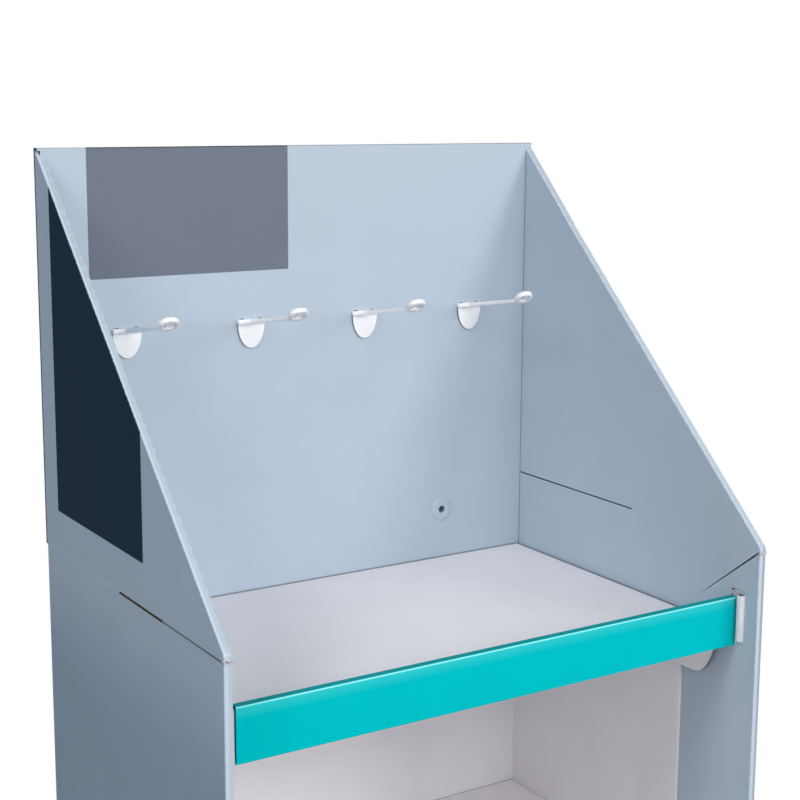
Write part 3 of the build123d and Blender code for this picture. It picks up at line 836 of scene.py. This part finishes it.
def ear_end(name, side, deck):
    """The rolled white end of a lip's ear that fills the slot of a return, in front of the strip."""
    front = -185.0 * MM
    piece = side_block(name, side, 286.1 * MM, 3.7 * MM, (front, -178.4 * MM),
                       (deck - 10.8 * MM, deck + 37.4 * MM))
    bpy.ops.object.mode_set(mode="EDIT")
    pick(piece, "EDGE", lambda e: abs(middle_of(e).y - front) < 0.1 * MM and abs(middle_of(e).x) < RETURN
         and run_of(e).z > 0.9)
    bpy.ops.mesh.bevel(offset=2.8 * MM, segments=4, affect="EDGES")
    bpy.ops.object.mode_set(mode="OBJECT")
    round_edges(piece, 0.8 * MM, 3, 50)
    return piece


def slot_tab(name, side, deck):
    """The bit of the return that the ear pushes back into the top of its slot."""
    piece = side_block(name, side, 288.55 * MM, 1.5 * MM, (-185.2 * MM, -176.4 * MM),
                       (deck + 37.5 * MM, deck + 41.45 * MM))
    round_edges(piece, 0.3 * MM, 2)
    return piece


def on_each_deck(first, name):
    """The first piece, made at the top deck, after its copies at the three decks below."""
    return [copy_of(first, f"{name}_{n}", (0, 0, (n - 4) * DECK_PITCH)) for n in (1, 2, 3)] + [first]


def torn_strip(name, side, level, up):
    """A strip of torn liner beside the seam's tear: one straight edge, and one that is ragged and curls out."""
    width, count = 0.45 * MM, 58
    length = CREASE_END - TEAR_START
    pitch = length / count
    bpy.ops.object.select_all(action="DESELECT")
    bpy.ops.mesh.primitive_grid_add(
        x_subdivisions=2, y_subdivisions=count, size=1, rotation=(0, math.radians(90), 0),
        location=(side * (SIDE + 0.1 * MM), (TEAR_START + CREASE_END) / 2, level + up * width / 2))
    bpy.context.object.scale = (width, length, 1)
    piece = settle(name)
    bpy.ops.object.mode_set(mode="EDIT")
    for n in range(7):
        pick(piece, "VERT", lambda v: (v.co.z - level) * up < 0.2 * MM
             and round((v.co.y - TEAR_START) / pitch) * 3 % 7 == n)
        bpy.ops.transform.translate(value=(side * 0.16 * n * MM, 0, -up * (0.25 * n - 0.6) * MM))
    bpy.ops.mesh.select_all(action="SELECT")
    bpy.ops.mesh.normals_make_consistent(inside=False)
    bpy.ops.object.mode_set(mode="OBJECT")
    ply = piece.modifiers.new("ply", "SOLIDIFY")
    ply.thickness = 0.35 * MM
    ply.offset = 0
    bpy.ops.object.modifier_apply(modifier=ply.name)
    return piece


def crumple(name, side, reach, half, depth, rise):
    """A lump of crushed and torn board."""
    piece = side_block(name, side, reach, half, depth, rise)
    bpy.ops.object.mode_set(mode="EDIT")
    bpy.ops.mesh.select_all(action="SELECT")
    bpy.ops.mesh.subdivide(number_cuts=9)
    bpy.ops.object.mode_set(mode="OBJECT")
    folds = bpy.data.textures.new("crushed_folds", "CLOUDS")
    folds.noise_scale = 1.3 * MM
    folds.contrast = 2.0
    folds.cloud_type = "COLOR"
    crush = piece.modifiers.new("crush", "DISPLACE")
    crush.texture = folds
    crush.texture_coords = "LOCAL"
    crush.direction = "RGB_TO_XYZ"
    crush.strength = 2.4 * MM
    bpy.ops.object.modifier_apply(modifier=crush.name)
    return piece


def mitre_flap(name, side):
    """The glue flap that closes the mitre between the wing's inner panel and the return, near the deck."""
    reach = side * 288.4 * MM
    low_end = Vector((reach, -93 * MM, 1024.4 * MM))
    high_end = Vector((reach, -132 * MM, 1055 * MM))
    length = (high_end - low_end).length
    piece = block(name, (-1.35 * MM, -length / 2, -0.9 * MM), (1.35 * MM, length / 2, 0.9 * MM))
    round_edges(piece, 0.3 * MM, 2)
    turn = math.atan2(high_end.z - low_end.z, high_end.y - low_end.y)
    piece.data.transform(Matrix.Translation((low_end + high_end) / 2) @ Matrix.Rotation(turn, 4, "X"))
    return piece


def wing_peak(name, side, rise):
    """The rear end of a wing's sloped strip, which stands up a little to meet the header's top."""
    start, end = 110 * MM, 198 * MM
    foot = WING_FOOT + WING_SLOPE * (start - FRONT)
    climb = WING_SLOPE * (end - start)
    piece = side_block(name, side, 291 * MM, 3.98 * MM, (start, end), (foot - 2 * MM, foot))
    bpy.ops.object.mode_set(mode="EDIT")
    pick(piece, "VERT", lambda v: v.co.y > start + 1 * MM)
    bpy.ops.transform.translate(value=(0, 0, climb))
    pick(piece, "EDGE", lambda e: run_of(e).x > 0.9 and middle_of(e).z > foot + climb - 1 * MM)
    bpy.ops.transform.translate(value=(0, 0, rise))
    bpy.ops.object.mode_set(mode="OBJECT")
    round_edges(piece, 0.3 * MM, 2)
    return piece


class STAND_OT_torn_board(bpy.types.Operator):
    """Models the ear ends, slot tabs, torn seam, crushed corners, mitre flaps and wing peaks."""
    bl_idname = "stand.torn_board"
    bl_label = "Make the ears and the torn board"

    def execute(self, context):
        colours = context.scene.stand_colours
        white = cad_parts["shelf_tray_1"].active_material
        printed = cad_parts["body_wrap"].active_material
        pale_paper = torn_paper("torn_white_liner", colours.white_board, shade_of(colours.white_board, 0.45))
        # kraft darkened to near black: painted shade in the torn hollow of the seam
        shaded_kraft_paper = torn_paper(
            "torn_kraft_in_shade", shade_of(colours.kraft, 0.4), shade_of(colours.kraft, 0.06))
        for side, name, rise in ((-1, "left", 1.6 * MM), (1, "right", 3.6 * MM)):
            ear = ear_end(f"ear_end_{name}_4", side, TOP_DECK)
            soften(ear)
            wear(ear, white)
            for piece in on_each_deck(ear, f"ear_end_{name}"):
                show_as(piece, "white_board")
            for piece, paper in (
                    (torn_strip(f"torn_liner_over_{name}", side, SEAM + 1.1 * MM, 1), shaded_kraft_paper),
                    (torn_strip(f"torn_liner_under_{name}", side, SEAM + 0.2 * MM, -1), shaded_kraft_paper),
                    (crumple(f"crushed_corner_{name}", side, 291 * MM, 3.6 * MM,
                             (FRONT - 0.1 * MM, FRONT + 2.5 * MM),
                             (SEAM - 0.9 * MM, SEAM + 0.3 * MM)), pale_paper),
                    (crumple(f"torn_nose_{name}", side, 291.5 * MM, 3.6 * MM,
                             (FRONT - 0.4 * MM, FRONT + 2.0 * MM),
                             (SEAM + 0.9 * MM, SEAM + 2.1 * MM)), pale_paper),
                    (crumple(f"torn_slot_{name}", side, 288.2 * MM, 1.6 * MM, (-175.5 * MM, -168.5 * MM),
                             (TOP_DECK + 34.6 * MM, TOP_DECK + 39.5 * MM)), pale_paper)):
                wear(piece, paper)
                show_as(piece, "white_board")
            flap = mitre_flap(f"mitre_flap_{name}", side)
            tabs = on_each_deck(slot_tab(f"slot_tab_{name}_4", side, TOP_DECK), f"slot_tab_{name}")
            peak = wing_peak(f"wing_peak_{name}", side, rise)
            for piece in (flap, peak, *tabs):
                wear(piece, printed)
                show_as(piece, "printed_board")
        return {"FINISHED"}


class STAND_OT_stage(bpy.types.Operator):
    """Sets the pale floor, the seven soft lights, the white surroundings and the camera."""
    bl_idname = "stand.stage"
    bl_label = "Set the stage"

    def execute(self, context):
        lens = bpy.data.cameras.new("photo_camera")
        lens.sensor_width = 36
        lens.lens = 70.1586
        lens.shift_y = -0.04
        lens.clip_start, lens.clip_end = 0.05, 50
        camera = bpy.data.objects.new("photo_camera", lens)
        camera.matrix_world = (
            Matrix.Translation((-0.8035, -1.2645, 1.5424)) @ Matrix.Rotation(math.radians(-32.29), 4, "Z")
            @ Matrix.Rotation(math.radians(90 - 9.58), 4, "X") @ Matrix.Rotation(math.radians(0.31), 4, "Z"))
        context.scene.collection.objects.link(camera)
        context.scene.camera = camera
        bpy.ops.object.select_all(action="DESELECT")
        bpy.ops.mesh.primitive_circle_add(
            vertices=96, radius=1.4, fill_type="NGON", location=(0, 0, -0.5 * MM))
        floor = settle("studio_floor")
        wear(floor, studio_floor(context.scene.stand_colours))
        for name, turn, rise, power, width in (
                ("left_low", -55, 13, 16.0, 2.2), ("left_high", -70, 40, 51.0, 1.6),
                ("front_low", 0, 12, 27.0, 2.6), ("front_high", 0, 35, 57.0, 2.6),
                ("right_low", 34, 19, 55.0, 1.5), ("right_side", 60, 18, 22.0, 2.6),
                ("behind", 176, 25, 90.0, 2.6)):
            light = bpy.data.lights.new(name, "AREA")
            light.shape, light.size, light.energy = "DISK", width, power
            lamp = bpy.data.objects.new(name, light)
            turn, rise = math.radians(turn), math.radians(rise)
            way = Vector((math.sin(turn) * math.cos(rise), -math.cos(turn) * math.cos(rise), math.sin(rise)))
            lamp.location = Vector((0, 0, 1.2)) + 4.0 * way
            lamp.rotation_euler = way.to_track_quat("Z", "Y").to_euler()
            lamp.visible_camera = False
            context.scene.collection.objects.link(lamp)
        world = bpy.data.worlds.new("white_studio")
        context.scene.world = world
        world.use_nodes = True
        tree = world.node_tree
        tree.nodes.clear()
        way = put(tree, "ShaderNodeTexCoord").outputs["Generated"]
        rise = put(tree, "ShaderNodeSeparateXYZ", {0: way}).outputs["Z"]
        glow = put(tree, "ShaderNodeBackground", {
            "Color": linear("#f7f9ff"), "Strength": ramp(tree, rise, -0.1, 0.1, 0.18, 0.03)})
        white = put(tree, "ShaderNodeBackground", {"Color": (1, 1, 1, 1), "Strength": 1.0})
        seen = put(tree, "ShaderNodeLightPath").outputs["Is Camera Ray"]
        both = put(tree, "ShaderNodeMixShader", {0: seen, 1: glow, 2: white})
        put(tree, "ShaderNodeOutputWorld", {"Surface": both})
        context.scene.view_settings.view_transform = "Standard"
        return {"FINISHED"}


class VIEW3D_PT_stand(bpy.types.Panel):
    """Lists the steps that dress the stand."""
    bl_label = "Display stand"
    bl_space_type = "VIEW_3D"
    bl_region_type = "UI"
    bl_category = "Stand"

    def draw(self, context):
        for group in (context.scene.stand_colours, context.scene.stand_sizes):
            for name in group.__annotations__:
                self.layout.prop(group, name)
        for step in OPERATORS:
            self.layout.operator(step.bl_idname)


GROUPS = (StandColours, StandSizes)
OPERATORS = (STAND_OT_boards, STAND_OT_hooks, STAND_OT_rivets, STAND_OT_torn_board, STAND_OT_stage)


def register():
    """Registers the groups, the operators and the panel."""
    for part in (*GROUPS, *OPERATORS, VIEW3D_PT_stand):
        bpy.utils.register_class(part)
    bpy.types.Scene.stand_colours = bpy.props.PointerProperty(type=StandColours)
    bpy.types.Scene.stand_sizes = bpy.props.PointerProperty(type=StandSizes)


def unregister():
    """Takes them away again."""
    del bpy.types.Scene.stand_sizes
    del bpy.types.Scene.stand_colours
    for part in reversed((*GROUPS, *OPERATORS, VIEW3D_PT_stand)):
        bpy.utils.unregister_class(part)


def main():
    """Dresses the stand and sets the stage."""
    register()
    bpy.ops.stand.boards()
    bpy.ops.stand.hooks()
    bpy.ops.stand.rivets()
    bpy.ops.stand.torn_board()
    bpy.ops.stand.stage()


if __name__ == "__main__":
    main()
